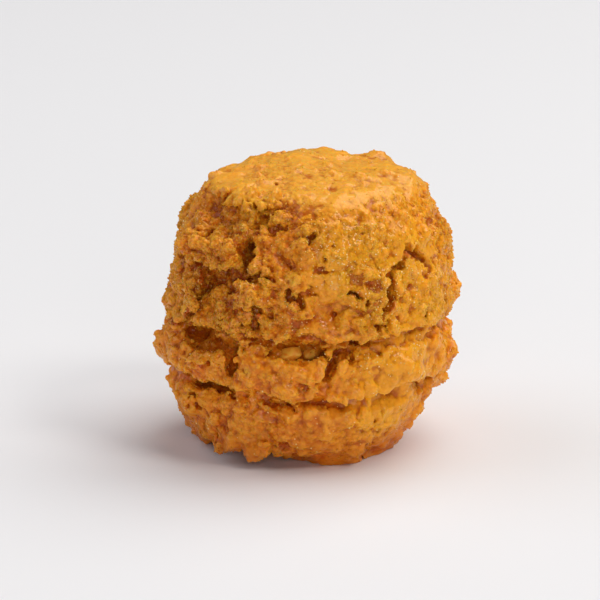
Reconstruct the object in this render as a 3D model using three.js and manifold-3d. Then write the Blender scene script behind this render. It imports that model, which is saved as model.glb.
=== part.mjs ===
// A one-piece almond macaron: a small barrel of baked almond dough with a flat pressed top,
// two torn seams round its side and deep cracks between its crags.
// Millimetres, +Z up, origin in the middle of the flat base. Azimuth is in degrees: 0 is the
// front (-Y), +90 the right (+X). A place on the side is [azimuth, height].
import * as THREE from "three";
import { mergeVertices } from "three/addons/utils/BufferGeometryUtils.js";
import { ImprovedNoise } from "three/addons/math/ImprovedNoise.js";
import Module from "manifold-3d";

// Driving dimensions of the barrel: its outline from the edge of the base to the middle of the
// top as [radius, height], and how far its middle leans sideways from base to top.
const OUTLINE = [
  [11.1, 0], [13.8, 2.9], [15.5, 7.3], [16.7, 11.6], [16.5, 16],
  [16.0, 21], [15.2, 25], [13.1, 28.4], [10.3, 30.6], [5, 31.3], [0, 31.4],
];
const LEAN = { atBase: -0.7, atTop: 1.0, from: 2, to: 24 };
const COLUMNS = 68;
const SIDE_ROWS = 40;
const BASE_RINGS = [0, 3.5, 7, 9.4];

// The base is flat in the middle and lifts off the table at its front left edge.
const BASE_LIFT = { azimuth: -40, spread: 30, height: 0.5, from: 7, to: 11.1, fadesAt: 6 };

// Two seams tear the side into three tiers. A bend raises or drops a seam near one azimuth. The
// seam is nearly closed all round and gapes near its openings. Its upper edge overhangs it, and
// its lower edge is rounded off.
const SEAMS = [
  {
    height: 14.9, gap: 1.3, depth: 3.4, rise: 0.5,
    bends: [
      { azimuth: -44, spread: 10, rise: 0.8 }, { azimuth: -13, spread: 6, rise: -0.3 },
      { azimuth: -1, spread: 6, rise: 0.6 }, { azimuth: 29, spread: 8, rise: -0.5 },
      { azimuth: 88, spread: 18, rise: -0.9 },
    ],
    openings: [
      { azimuth: -50, spread: 14, share: 0.6 }, { azimuth: -5, spread: 11, share: 0.5 },
      { azimuth: 20, spread: 6, share: 0.6 }, { azimuth: 150, spread: 25, share: 0.5 },
    ],
  },
  {
    height: 8.6, gap: 1.2, depth: 3.0, rise: 0.4,
    bends: [
      { azimuth: -72, spread: 8, rise: 1.1 }, { azimuth: -46, spread: 7, rise: -0.5 },
      { azimuth: -33, spread: 5, rise: 1.2 }, { azimuth: 20, spread: 8, rise: -0.5 },
      { azimuth: 49, spread: 8, rise: 1.1 },
    ],
    openings: [
      { azimuth: -50, spread: 12, share: 0.6 }, { azimuth: -14, spread: 10, share: 0.5 },
      { azimuth: 14, spread: 9, share: 0.3 }, { azimuth: 60, spread: 6, share: 0.5 },
      { azimuth: 190, spread: 25, share: 0.5 },
    ],
  },
];
const SEAM_WOBBLE = { height: 0.4, pace: 2.4 };
const SEAM_CLOSED = { share: 0.35, varies: 0.7, pace: 3.7 };
const SEAM_REACH = 2.2;
const SEAM_EDGES = { above: { spread: 0.5, inset: 0.3 }, below: { spread: 1.5, inset: 1.4 } };
const SEAM_STEPS = 66;

// Cracks of the front, each a path down the side with its width at the surface and its depth.
const FRONT_CRACKS = [
  { path: [[-26, 28.8], [-28, 26.4], [-30, 25.1], [-27, 24.2], [-29, 22.8]], width: 0.7, depth: 1.5 },
  { path: [[-27, 20.9], [-24, 19.8], [-20, 18.8], [-22, 17.6], [-22, 16]], width: 0.9, depth: 1.9 },
  { path: [[-30, 22.9], [-26, 22.4], [-20, 22.5]], width: 0.7, depth: 1.3 },
  { path: [[-13, 20], [-9, 20.5], [-5, 19.5]], width: 0.7, depth: 1.3 },
  { path: [[-5, 21], [4, 20.6], [12, 20.2]], width: 0.8, depth: 1.2 },
  { path: [[12, 21.4], [18, 20.6], [24, 20.1]], width: 0.8, depth: 1.4 },
  { path: [[45, 24.5], [39, 23.3], [33, 22.9], [35, 20.5], [29, 18], [27, 15]], width: 0.9, depth: 2.3 },
  { path: [[42, 24.6], [51, 23.9], [58, 22.1]], width: 1.2, depth: 1.8 },
  { path: [[45, 24.3], [51, 25.7]], width: 0.8, depth: 1.2 },
  { path: [[-32, 15.6], [-31, 14.2], [-33, 13], [-34, 11.6], [-35, 10.4]], width: 1.1, depth: 2.8 },
  { path: [[16, 14.8], [11, 13.3], [9, 11.8], [5, 10.6]], width: 1.1, depth: 2.6 },
  { path: [[60, 15.3], [61, 14.2], [61, 12.8]], width: 0.9, depth: 1.3 },
  { path: [[-57, 9], [-51, 8], [-43, 7.5]], width: 1.2, depth: 1.8 },
];

// Cracks of the sides and back follow one rule: spread evenly between these azimuths, each
// falling from a shoulder or a seam with a seeded sideways drift.
const BACK_CRACKS = { from: 84, to: 290, count: 9, width: 1.0, depth: 2.1, drift: 7, steps: 4 };
const CRACK_TIERS = [[15, 26.5], [8.8, 14.8], [15, 23]];
const CRACK_SAMPLES = 7;
const CRACK_TAPER = 0.25;

// Every cut starts outside the side, is ragged by seeded shares and narrows to a tip inside.
const CUT_OVERSHOOT = 2.5;
const RAGGED = { least: 0.75, more: 0.5 };
const TIP_SHARE = 0.2;

// Lumps stand proud of the barrel and hollows sink into it: place, radius and height.
const LUMPS = [
  { at: [-46, 24.9], radius: 3.4, height: 1.2 },
  { at: [-58, 12.2], radius: 4.6, height: 0.9 },
  { at: [-72, 16.8], radius: 4.6, height: 0.6 },
  { at: [-18, 20.6], radius: 2.2, height: 0.8 },
  { at: [-8, 22.4], radius: 1.9, height: 0.5 },
  { at: [25, 21.3], radius: 2.4, height: 0.5 },
  { at: [-6, 11.5], radius: 4, height: 0.5 },
  { at: [37, 11.8], radius: 4.6, height: 0.5 },
  { at: [10, 26.5], radius: 6, height: 0.5 },
  { at: [84, 8.8], radius: 6, height: 0.9 },
  { at: [137, 30.5], radius: 3.2, height: 0.8 },
  { at: [188, 30.8], radius: 7.5, height: 0.8 },
];
const HOLLOWS = [
  { at: [-50, 27.4], radius: 3.6, height: 0.8 },
  { at: [-88, 25.4], radius: 5, height: 0.6 },
  { at: [-34, 21.6], radius: 2.8, height: 0.9 },
  { at: [4, 18.6], radius: 3.2, height: 0.9 },
  { at: [14, 10.4], radius: 1.8, height: 0.7 },
  { at: [78, 3.2], radius: 5, height: 0.8 },
  { at: [-74, 2.4], radius: 4, height: 0.9 },
];

// Pockets and pits broken out of the front: place and size as [across, deep, high]. First come the
// nut pocket in the upper seam, the hollow under the seam's left end and the round hole to the
// right; then the bites under the lip of the top and under the lump below it; then pits.
const POCKETS = [
  { at: [-4, 14.4], size: [5.2, 4.4, 2.1] },
  { at: [-47, 14.9], size: [9.5, 4.6, 2.1] },
  { at: [19, 14], size: [1.5, 5.2, 2.5] },
  { at: [-50, 27.5], size: [7.6, 4.6, 2.3] },
  { at: [-36, 22.3], size: [5, 4, 1.8] },
  { at: [-28, 26.4], size: [1.2, 3.8, 1.2] },
  { at: [-27, 24.2], size: [1.2, 3.6, 1] },
  { at: [-20, 22.5], size: [1.6, 3.6, 1.3] },
  { at: [-10, 21.3], size: [1, 3.2, 1] },
  { at: [33, 22.6], size: [1.4, 3.6, 1.1] },
  { at: [28, 16.8], size: [0.9, 3.4, 1.4] },
  { at: [44, 24.3], size: [1.5, 3.4, 1.1] },
  { at: [-34, 11.4], size: [1.8, 4.2, 1.7] },
  { at: [-54, 8.5], size: [2.2, 3.4, 1.3] },
  { at: [-10, 7.8], size: [1.2, 3.8, 1.2] },
  { at: [59, 9.4], size: [1.2, 2.8, 1.1] },
  { at: [-30, 0.2], size: [4.4, 4, 1.2] },
];

// Crags all over: blocks of about this size on a slow swell, parted by clefts. They are fewer on
// the pressed top, and stand out more on the torn left of the front. All relief fades at the base.
const CRAG_SIZE = 4.4;
const CRAG_STEP = 0.5;
const CLEFT_DEPTH = 0.4;
const CLEFT_SHARE = 0.75;
const SWELL_SIZE = 9;
const SWELL_HEIGHT = 0.5;
const PRESSED = { share: 0.7, from: 27.5, to: 30 };
const TORN = { azimuth: -42, spread: 40, more: 1.2 };
const RELIEF = { from: -0.6, to: 2.5 };
const COLOUR = 0xd08c34;

// Slivers left by the cuts are merged away up to this size.
const SLIVER = 0.06;

const noise = new ImprovedNoise();
const outline = new THREE.SplineCurve(OUTLINE.map(([r, h]) => new THREE.Vector2(r, h)));
const wasm = await Module();
wasm.setup();

const bell = (distance, spread) => Math.exp(-((distance / spread) ** 2));
const angleBetween = (a, b) => THREE.MathUtils.euclideanModulo(a - b + 180, 360) - 180;
const { degToRad, lerp, smoothstep } = THREE.MathUtils;

// A repeatable random number from 0 to 1 for three whole numbers.
function hash(i, j, k) {
  const s = Math.sin(i * 127.1 + j * 311.7 + k * 74.7) * 43758.5453;
  return s - Math.floor(s);
}

// The point of the outline at a height, found by halving, as {radius, normal}.
function outlineAt(height) {
  let low = 0;
  let high = 1;
  for (let i = 0; i < 24; i++) {
    const middle = (low + high) / 2;
    if (outline.getPoint(middle).y < height) low = middle;
    else high = middle;
  }
  const along = outline.getTangent(low);
  return { radius: outline.getPoint(low).x, normal: new THREE.Vector2(along.y, -along.x) };
}

function place(azimuth, radius, height) {
  const a = degToRad(azimuth);
  return new THREE.Vector3(radius * Math.sin(a), -radius * Math.cos(a), height);
}

const onSide = ([azimuth, height]) => place(azimuth, outlineAt(height).radius, height);
const lean = (height) => lerp(LEAN.atBase, LEAN.atTop, smoothstep(height, LEAN.from, LEAN.to));

// Slow seeded noise round a seam, from -1 to 1.
function seamNoise(seam, azimuth, pace) {
  const a = degToRad(azimuth);
  return noise.noise(pace * Math.sin(a), pace * Math.cos(a), seam.height);
}

function seamHeight(seam, azimuth) {
  let height = seam.height + SEAM_WOBBLE.height * seamNoise(seam, azimuth, SEAM_WOBBLE.pace);
  for (const bend of seam.bends) {
    height += bend.rise * bell(angleBetween(azimuth, bend.azimuth), bend.spread);
  }
  return height;
}

// How far the seam gapes here, as a share of its full gap and depth.
function seamShare(seam, azimuth) {
  let share = SEAM_CLOSED.share * (1 + SEAM_CLOSED.varies * seamNoise(seam, azimuth, SEAM_CLOSED.pace));
  for (const opening of seam.openings) {
    share += opening.share * bell(angleBetween(azimuth, opening.azimuth), opening.spread);
  }
  return Math.min(share, 1);
}

// The two nearest of a set of jittered cell centres, as distances in cells, and the nearest's height.
function nearestCells(point, size) {
  const p = point.clone().divideScalar(size);
  const [ci, cj, ck] = p.toArray().map(Math.floor);
  let found = { first: Infinity, second: Infinity, height: 0 };
  for (let i = ci - 1; i <= ci + 1; i++)
    for (let j = cj - 1; j <= cj + 1; j++)
      for (let k = ck - 1; k <= ck + 1; k++) {
        const centre = new THREE.Vector3(i + hash(i, j, k), j + hash(j, k, i + 9), k + hash(k, i, j + 4));
        const d = centre.distanceTo(p);
        if (d < found.first) found = { first: d, second: found.first, height: hash(i, k, j + 2) };
        else if (d < found.second) found.second = d;
      }
  return found;
}

// Crags are blocks of uneven height parted by clefts, on a slow swell.
function cragHeight(point, azimuth) {
  const s = point.clone().divideScalar(SWELL_SIZE);
  const swell = SWELL_HEIGHT * noise.noise(s.x, s.y, s.z);
  const { first, second, height } = nearestCells(point, CRAG_SIZE);
  const block = CRAG_STEP * (height - 0.5) - CLEFT_DEPTH * (1 - smoothstep(second - first, 0, CLEFT_SHARE));
  const pressed = 1 - PRESSED.share * smoothstep(point.z, PRESSED.from, PRESSED.to);
  const torn = 1 + TORN.more * bell(angleBetween(azimuth, TORN.azimuth), TORN.spread);
  return swell + block * pressed * torn;
}

// A rounded mound with steep flanks, 1 at its middle and 0 from its radius on.
function mound(point, { at, radius }) {
  const d = point.distanceTo(onSide(at)) / radius;
  return d < 1 ? (1 - d ** 3) ** 2 : 0;
}

// How far the surface stands out from the plain barrel at a point of it.
function relief(point, azimuth, height) {
  let out = cragHeight(point, azimuth);
  for (const lump of LUMPS) out += lump.height * mound(point, lump);
  for (const hollow of HOLLOWS) out -= hollow.height * mound(point, hollow);
  for (const seam of SEAMS) {
    const above = height - seamHeight(seam, azimuth);
    const { spread, inset } = above > 0 ? SEAM_EDGES.above : SEAM_EDGES.below;
    out -= inset * seamShare(seam, azimuth) * bell(above, spread);
  }
  return out;
}

// The plain barrel as a lathe, its rows drawn together towards the seams.
function barrel() {
  const profile = BASE_RINGS.map((radius) => new THREE.Vector2(radius, 0));
  outline.getSpacedPoints(SIDE_ROWS).forEach((point) => {
    let height = point.y;
    for (const seam of SEAMS) {
      const above = point.y - seam.height;
      height -= 0.5 * above * bell(above, SEAM_REACH);
    }
    const radius = point.x + outlineAt(height).radius - outlineAt(point.y).radius;
    profile.push(new THREE.Vector2(Math.max(radius, 0), height));
  });
  const lathe = new THREE.LatheGeometry(profile, COLUMNS).rotateX(Math.PI / 2);
  lathe.deleteAttribute("normal").deleteAttribute("uv");
  return mergeVertices(lathe, 1e-4);
}

// Moves one point of the plain barrel to where the torn, cragged surface lies.
function tear(point) {
  const azimuth = THREE.MathUtils.radToDeg(Math.atan2(point.x, -point.y));
  const radius = Math.hypot(point.x, point.y);
  const { from, to, height: lift, spread } = BASE_LIFT;
  const near = bell(angleBetween(azimuth, BASE_LIFT.azimuth), spread);
  const raised = lift * near * smoothstep(radius, from, to);
  if (point.z < 1e-6 && radius < OUTLINE[0][0] - 0.1) return point.setZ(raised);

  let height = point.z;
  for (const seam of SEAMS) {
    height += (seamHeight(seam, azimuth) - seam.height) * bell(point.z - seam.height, SEAM_REACH);
  }
  const { normal } = outlineAt(height);
  const moved = place(azimuth, radius + outlineAt(height).radius - outlineAt(point.z).radius, height);
  const out = relief(moved, azimuth, height) * smoothstep(height, RELIEF.from, RELIEF.to);
  moved.add(place(azimuth, out * normal.x, out * normal.y));
  moved.x += lean(height);
  moved.z += raised * (1 - smoothstep(height, 0, BASE_LIFT.fadesAt));
  return moved;
}

// A closed solid through a row of sections with the same number of corners; a ring joins its ends.
function loft(sections, isRing) {
  const corners = sections[0].length;
  const index = [];
  const at = (s, c) => (s % sections.length) * corners + (c % corners);
  const spans = isRing ? sections.length : sections.length - 1;
  for (let s = 0; s < spans; s++)
    for (let c = 0; c < corners; c++)
      index.push(at(s, c), at(s, c + 1), at(s + 1, c), at(s, c + 1), at(s + 1, c + 1), at(s + 1, c));
  const last = sections.length - 1;
  for (let c = 1; c < corners - 1 && !isRing; c++)
    index.push(at(0, 0), at(0, c + 1), at(0, c), at(last, 0), at(last, c), at(last, c + 1));
  return new THREE.BufferGeometry().setFromPoints(sections.flat()).setIndex(index);
}

// A seam's cut: a wavy ring that thins inwards and climbs under the edge above it.
function seamCut(seam) {
  const sections = [];
  for (let i = 0; i < SEAM_STEPS; i++) {
    const azimuth = (360 * i) / SEAM_STEPS;
    const height = seamHeight(seam, azimuth);
    const ragged = RAGGED.least + RAGGED.more * hash(i, seam.depth, 1);
    const outer = outlineAt(height).radius + CUT_OVERSHOOT;
    const inner = outlineAt(height).radius - seam.depth * seamShare(seam, azimuth) * ragged;
    const gap = (seam.gap / 2) * ragged;
    const tip = gap * TIP_SHARE;
    const section = [
      place(azimuth, outer, height - gap * 1.6), place(azimuth, inner, height + seam.rise - tip),
      place(azimuth, inner, height + seam.rise + tip), place(azimuth, outer, height + gap),
    ];
    for (const corner of section) corner.x += lean(height);
    sections.push(section);
  }
  return loft(sections, true);
}

// A crack's cut: a wedge along a smooth path down the side, narrow and shallow at both tips.
function crackCut({ path, width, depth }, seed) {
  const curve = new THREE.SplineCurve(path.map(([azimuth, height]) => new THREE.Vector2(azimuth, height)));
  const points = [];
  for (let i = 0; i < CRACK_SAMPLES; i++) {
    const { x, y } = curve.getPoint(i / (CRACK_SAMPLES - 1));
    points.push(onSide([x, y]).add(new THREE.Vector3(lean(y), 0, 0)));
  }
  const sections = points.map((point, i) => {
    const next = points[Math.min(i + 1, CRACK_SAMPLES - 1)];
    const along = next.clone().sub(points[Math.max(i - 1, 0)]).normalize();
    const outward = new THREE.Vector3(point.x - lean(point.z), point.y, 0).normalize();
    const across = new THREE.Vector3().crossVectors(outward, along).normalize();
    const ends = Math.min(i, CRACK_SAMPLES - 1 - i) / (CRACK_SAMPLES - 1) / CRACK_TAPER;
    const share = Math.min(1, 0.3 + 0.7 * ends) * (RAGGED.least + RAGGED.more * hash(i, seed, 3));
    const half = (width / 2) * share;
    const corner = (out, side) => point.clone().addScaledVector(outward, out).addScaledVector(across, side);
    const deep = -depth * share;
    const tip = half * TIP_SHARE;
    const mouth = half * 2;
    return [
      corner(deep, -tip), corner(deep, tip), corner(CUT_OVERSHOOT, mouth), corner(CUT_OVERSHOOT, -mouth),
    ];
  });
  return loft(sections, false);
}

// Cracks of the sides and back.
function backCracks() {
  const { from, to, count, width, depth, drift, steps } = BACK_CRACKS;
  return Array.from({ length: count }, (_, i) => {
    const azimuth = lerp(from, to, (i + 0.6 * hash(i, 2, 5)) / (count - 1));
    const [low, high] = CRACK_TIERS[i % CRACK_TIERS.length];
    const path = Array.from({ length: steps }, (_, k) => [
      azimuth + drift * (hash(i, k, 7) - 0.5),
      lerp(high, low, k / (steps - 1)),
    ]);
    return { path, width: width * (0.8 + 0.5 * hash(i, 3, 3)), depth };
  });
}

// A pocket's cut: an egg that points into the side.
function pocketCut({ at, size }) {
  const centre = onSide(at);
  return new THREE.SphereGeometry(0.5, 10, 6)
    .scale(...size)
    .rotateZ(degToRad(at[0]))
    .translate(centre.x + lean(centre.z), centre.y, centre.z);
}

// A closed geometry as a manifold-3d solid, without the triangles that a lathe's axis collapses.
function solid(geometry) {
  geometry.deleteAttribute("normal").deleteAttribute("uv");
  const merged = mergeVertices(geometry, 1e-4);
  const index = merged.index.array;
  const kept = [];
  for (let i = 0; i < index.length; i += 3) {
    const [a, b, c] = [index[i], index[i + 1], index[i + 2]];
    if (a !== b && b !== c && c !== a) kept.push(a, b, c);
  }
  return new wasm.Manifold(
    new wasm.Mesh({
      numProp: 3,
      vertProperties: merged.attributes.position.array,
      triVerts: new Uint32Array(kept),
    }),
  );
}

// The whole macaron: the torn barrel less every cut and any loose scrap, centred on its base.
function macaronGeometry() {
  const plain = barrel();
  const position = plain.attributes.position;
  for (let i = 0; i < position.count; i++) {
    const moved = tear(new THREE.Vector3().fromBufferAttribute(position, i));
    position.setXYZ(i, moved.x, moved.y, moved.z);
  }
  const cuts = [
    ...SEAMS.map(seamCut),
    ...[...FRONT_CRACKS, ...backCracks()].map(crackCut),
    ...POCKETS.map(pocketCut),
  ];
  const cracked = cuts.reduce((body, cut) => body.subtract(solid(cut)), solid(plain));
  const [body] = cracked.simplify(SLIVER).decompose().sort((a, b) => b.volume() - a.volume());
  const mesh = body.getMesh();
  const geometry = new THREE.BufferGeometry();
  geometry.setAttribute("position", new THREE.BufferAttribute(mesh.vertProperties, 3));
  geometry.setIndex(new THREE.BufferAttribute(mesh.triVerts, 1));
  geometry.computeBoundingBox();
  const middle = geometry.boundingBox.getCenter(new THREE.Vector3());
  geometry.translate(-middle.x, -middle.y, -geometry.boundingBox.min.z);
  geometry.computeVertexNormals();
  return geometry;
}

const macaron = new THREE.Mesh(
  macaronGeometry(),
  new THREE.MeshStandardMaterial({ color: COLOUR, roughness: 0.6, metalness: 0 }),
);
macaron.name = "macaron";

const root = new THREE.Group();
root.add(macaron);
export default root;
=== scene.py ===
"""An almond macaron: the CAD solid is grown into crumb by adding and taking grains in a distance field."""

import math

import bmesh
import bpy
import numpy as np
import openvdb as vdb
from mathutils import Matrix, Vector


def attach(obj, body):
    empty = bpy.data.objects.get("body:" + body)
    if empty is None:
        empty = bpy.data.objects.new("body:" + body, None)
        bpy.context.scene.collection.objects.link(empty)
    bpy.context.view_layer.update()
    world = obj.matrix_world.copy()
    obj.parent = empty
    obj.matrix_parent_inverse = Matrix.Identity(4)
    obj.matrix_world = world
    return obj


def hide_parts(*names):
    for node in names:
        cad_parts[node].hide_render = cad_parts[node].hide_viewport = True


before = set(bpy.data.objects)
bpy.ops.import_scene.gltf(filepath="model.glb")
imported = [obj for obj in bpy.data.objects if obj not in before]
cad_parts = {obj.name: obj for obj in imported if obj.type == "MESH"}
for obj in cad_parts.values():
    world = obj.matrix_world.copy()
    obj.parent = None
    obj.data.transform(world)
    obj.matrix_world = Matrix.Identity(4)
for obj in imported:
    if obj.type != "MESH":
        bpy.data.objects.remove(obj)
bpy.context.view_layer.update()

# Lengths are in millimetres, as the part's are, and MM turns them into metres. A place on the side
# is an azimuth in degrees, 0 at the front and 90 on the right, and a height.
MM = 0.001
NODE = "macaron"

# Each use of chance has its own seed. Where it has several kinds or sizes, they count up from it.
SEED = 852
SEEDS = {
    "body wander": 0,
    "crack wander": 40,
    "crack walls": 60,
    "rough patches": 90,
    "soft lumps": 95,
    "coarse crumb": 100,
    "pits": 110,
    "clusters": 120,
    "fused almonds": 125,
    "fine crumb": 130,
    "grit": 140,
    "fused grains": 150,
    "granules": 200,
    "sugar": 210,
    "shown almonds": 220,
}

# The distance field: its pitch, the room it leaves round the solid and its value beyond that, how
# soft the CAD edges get, and how far from the surface large and fine relief reach.
VOXEL = 0.16
MARGIN_VOXELS = 10
FAR = 3.0
EDGE_SOFTENING = 1
NEAR_REACH = 1.0
FINE_REACH = 0.4
MOST_TRIANGLES = 190_000

# Grid points count as surface within this share of a voxel. A grain's window has this many voxels
# of room. Grains are between a ball, whose power is 2, and a box.
SURFACE_SHARE = 0.6
GRAIN_ROOM = 2.5
GRAIN_POWER = 2.6

# The surface is blurred by this many passes to tell fine and broad hollows from crests, for the
# painted shade in hollows and painted highlight on crests. The broad blur skips grid points.
FINE_PASSES = 2
BROAD_PASSES = 4
BROAD_STEP = 2

# Crumb grows on the solid with its cracks closed, as far as this reach closes them. Then the
# cracks are cut again through the crumb, as they are at this depth and a little wider. They go down
# to a floor below the closed surface, which is shallower in the pressed top.
CRACK_REACH = 0.5
CRACK_DEPTH = 0.6
CRACK_WIDENING = 0.12
CRACK_ROUNDING = 0.1
CRACK_FLOOR = 1.1
TOP_CRACK_FLOOR = 0.25

# The dough below a crack lies back from the dough above it, which overhangs: by how much for each
# millimetre that the crack is wide, by how much at most, over what height it comes out again, and
# below what height this is so.
UNDERCUT_SHARE = 1.6
UNDERCUT_MOST = 0.9
UNDERCUT_HEIGHT = 2.4
UNDERCUT_BELOW = 16.2

# How far crack walls and the body wander, and how rough crack walls are, for each wavelength.
CRACK_WANDER = {2.4: 0.3, 1.1: 0.25}
CRACK_ROUGHNESS = {1.0: 0.11, 0.5: 0.08}
BODY_WANDER = {3.4: 0.4, 1.5: 0.14}

# Hollows under overhanging lips: where, how far they go across, up and in. Their tops lean in by
# this angle, so that the lip above is sharp and the dough below comes out gently. Hollows and
# bulges blend into the body over this length.
LIP_LEAN = 28
BLOCK_BLEND = 0.3
HOLLOWS = [
    {"at": (-55, 28.3), "size": (8.0, 2.8, 0.7)},
    {"at": (-39, 28.4), "size": (5.0, 1.8, 0.5)},
    {"at": (-25, 28.6), "size": (4.0, 1.4, 0.4)},
    {"at": (-68, 22.4), "size": (8.0, 2.6, 0.6)},
    {"at": (-50, 21.9), "size": (7.0, 2.6, 0.7)},
    {"at": (-37, 21.6), "size": (6.0, 2.8, 1.3)},
    {"at": (-29, 25.0), "size": (1.8, 5.6, 3.0)},
    {"at": (-57, 14.5), "size": (5.0, 1.5, 1.3)},
    {"at": (-44, 14.1), "size": (7.0, 2.2, 1.6)},
    {"at": (-34, 12.6), "size": (1.3, 4.4, 2.0)},
    {"at": (-3, 14.1), "size": (6.0, 1.8, 1.5)},
    {"at": (-12, 8.4), "size": (6.0, 0.8, 0.5)},
    {"at": (-50, 8.3), "size": (6.0, 1.3, 1.0)},
    {"at": (-36, 0.2), "size": (16.0, 2.2, 3.0)},
]

# Blocks of dough that bulge, given in the same way.
BULGES = [
    {"at": (-47, 24.7), "size": (7.0, 3.6, 0.8)},
    {"at": (-20, 20.9), "size": (3.6, 3.0, 0.7)},
    {"at": (-66, 18.6), "size": (7.0, 4.0, 0.6)},
    {"at": (-18, 3.3), "size": (1.3, 2.2, 0.5)},
    {"at": (-52, 29.6), "size": (4.0, 1.2, 0.3)},
    {"at": (-38, 29.6), "size": (4.4, 1.2, 0.6)},
    {"at": (-22, 29.7), "size": (3.6, 1.2, 0.5)},
]

# Crumb: grains of almond dough sunk in the surface until only their height shows. A torn share of
# 1 keeps a kind to the rough places, 0 spreads it evenly and -1 keeps it to the smooth ones. Soft
# lumps come before the hollows are cut. Pits are grains taken away.
SOFT_LUMPS = {"count": 120, "radius": (1.1, 2.0), "height": (0.12, 0.36), "blend": 0.45, "torn": -1.0}
COARSE_CRUMB = [
    {"count": 320, "radius": (0.7, 1.5), "height": (0.08, 0.36), "blend": 0.30, "torn": 0.6},
    {"count": 1200, "radius": (0.4, 0.8), "height": (0.05, 0.26), "blend": 0.14, "torn": 0.9},
]
PITS = [
    {"count": 40, "radius": (0.4, 0.7), "height": (0.08, 0.2), "blend": 0.15, "torn": 1.0},
    {"count": 160, "radius": (0.18, 0.34), "height": (0.06, 0.16), "blend": 0.06, "torn": 1.0},
]
FINE_CRUMB = [
    {"count": 900, "radius": (0.3, 0.55), "height": (0.04, 0.20), "blend": 0.08, "torn": 1.0},
]

# Grains of crumb lie above this height and are stretched along each axis by a share from this
# range. They are this share of their height on a smooth plate, and gain this much where it is rough.
LOWEST_GRAIN = 0.4
GRAIN_STRETCH = (0.7, 1.2)
SMOOTH_HEIGHT = 0.4
ROUGH_HEIGHT = 0.9

# Fused grains that cover the whole surface, by size and height, and grit finer than that, by
# wavelength and height. On smooth plates they keep this share of their height. A cell's spread
# makes some grains larger than their neighbours, the mean is a place's usual distance from its
# cell's middle, as a square in cells, and valleys between cells are no deeper than this many means.
FUSED_GRAINS = {2.0: 0.2, 1.0: 0.16, 0.5: 0.07, 0.35: 0.04}
GRIT = {0.4: 0.03}
SMOOTH_GRAINS = 0.3
FUSED_TINT = 2
CELL_SPREAD = 0.25
CELL_MEAN = 0.3
DEEPEST_VALLEY = 1.5

# Noise is read from random knots up to this high, on a lattice that repeats after so many.
KNOT_HEIGHT = 1.1
NOISE_PERIOD = 64

# Roughness runs from 0 on smooth plates to 1 where the dough is torn. It has a mean and a least
# value. The torn left of the front adds to the mean, and patches of about this size add or take.
ROUGH_MEAN = 0.5
ROUGH_LEAST = 0.4
TORN_MORE = 0.4
TORN_AZIMUTH = -42
TORN_SPREAD = 45
PATCH_MORE = 0.35
PATCH_SIZE = 4.5

# The pressed top and the foot are smoother by these shares, and the lower tiers keep this share of
# their roughness. The top and the upper tier begin between two heights. Below its edge the foot
# runs straight down.
TOP_SMOOTHER = 0.5
FOOT_SMOOTHER = 0.5
LOWER_ROUGH = 0.65
TOP_FROM = 28.5
TOP_TO = 30.5
UPPER_FROM = 14.5
UPPER_TO = 16.5
FOOT_HEIGHT = 1.2
FOOT_EDGE = 0.25

# Clusters of large loose crumbs: where, how far they spread, how many, and their radius.
CLUSTERS = [
    {"at": (-19, 20.8), "spread": 1.3, "count": 12, "radius": (0.35, 0.7)},
    {"at": (-40, 24.6), "spread": 2.2, "count": 16, "radius": (0.4, 0.8)},
    {"at": (-56, 24.4), "spread": 2.2, "count": 14, "radius": (0.4, 0.8)},
    {"at": (-56, 19.5), "spread": 2.6, "count": 12, "radius": (0.4, 0.75)},
    {"at": (-20, 25.4), "spread": 1.6, "count": 8, "radius": (0.35, 0.6)},
    {"at": (-7, 22.3), "spread": 1.6, "count": 8, "radius": (0.4, 0.7)},
    {"at": (-4, 21.0), "spread": 0.7, "count": 7, "radius": (0.4, 0.6)},
    {"at": (6, 24.9), "spread": 0.6, "count": 5, "radius": (0.4, 0.6)},
    {"at": (17, 21.6), "spread": 0.5, "count": 3, "radius": (0.4, 0.5)},
    {"at": (1, 28.1), "spread": 0.5, "count": 6, "radius": (0.4, 0.6)},
    {"at": (-58, 29.7), "spread": 1.4, "count": 12, "radius": (0.3, 0.6)},
    {"at": (-44, 29.8), "spread": 1.4, "count": 14, "radius": (0.3, 0.6)},
    {"at": (-31, 29.8), "spread": 1.4, "count": 14, "radius": (0.3, 0.6)},
    {"at": (-19, 29.9), "spread": 1.2, "count": 10, "radius": (0.3, 0.55)},
]
CLUSTER_HEIGHT = (0.25, 0.6)
CLUSTER_STRETCH = (0.75, 1.15)
CLUSTER_BLEND = 0.06

# Specks are separate small grains on the finished surface, above this height. Proud is the share
# of the radius by which a centre stands out.
LOWEST_SPECK = 0.5
GRANULES = {"count": 22000, "radius": (0.08, 0.15), "stretch": (0.7, 1.3), "proud": (-0.4, 0.1)}
SUGAR = {"count": 1500, "radius": (0.07, 0.12), "stretch": (0.8, 1.3), "proud": (-0.2, 0.4)}

# Granules are thinner on the lower tiers, by their share there, and on the pressed top, by what it
# lacks. Their tints are mostly pale.
LOWER_GRANULES = 0.5
TOP_LACKS = 0.85
GRANULE_TINT = (-0.6, 2.4)

# Almond bits in the nut pocket: where, radius along three axes and how far they stand out. Chips
# are flat faces cut on a bit, this far from its middle.
SHOWN_ALMONDS = [
    {"at": (-7, 13.8), "radii": (1.7, 1.1, 1.2), "proud": 0.6},
    {"at": (2, 13.7), "radii": (1.5, 0.8, 1.0), "proud": 0.0},
]
CHIPS = 18
CHIPPED = (0.5, 0.65)

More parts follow.
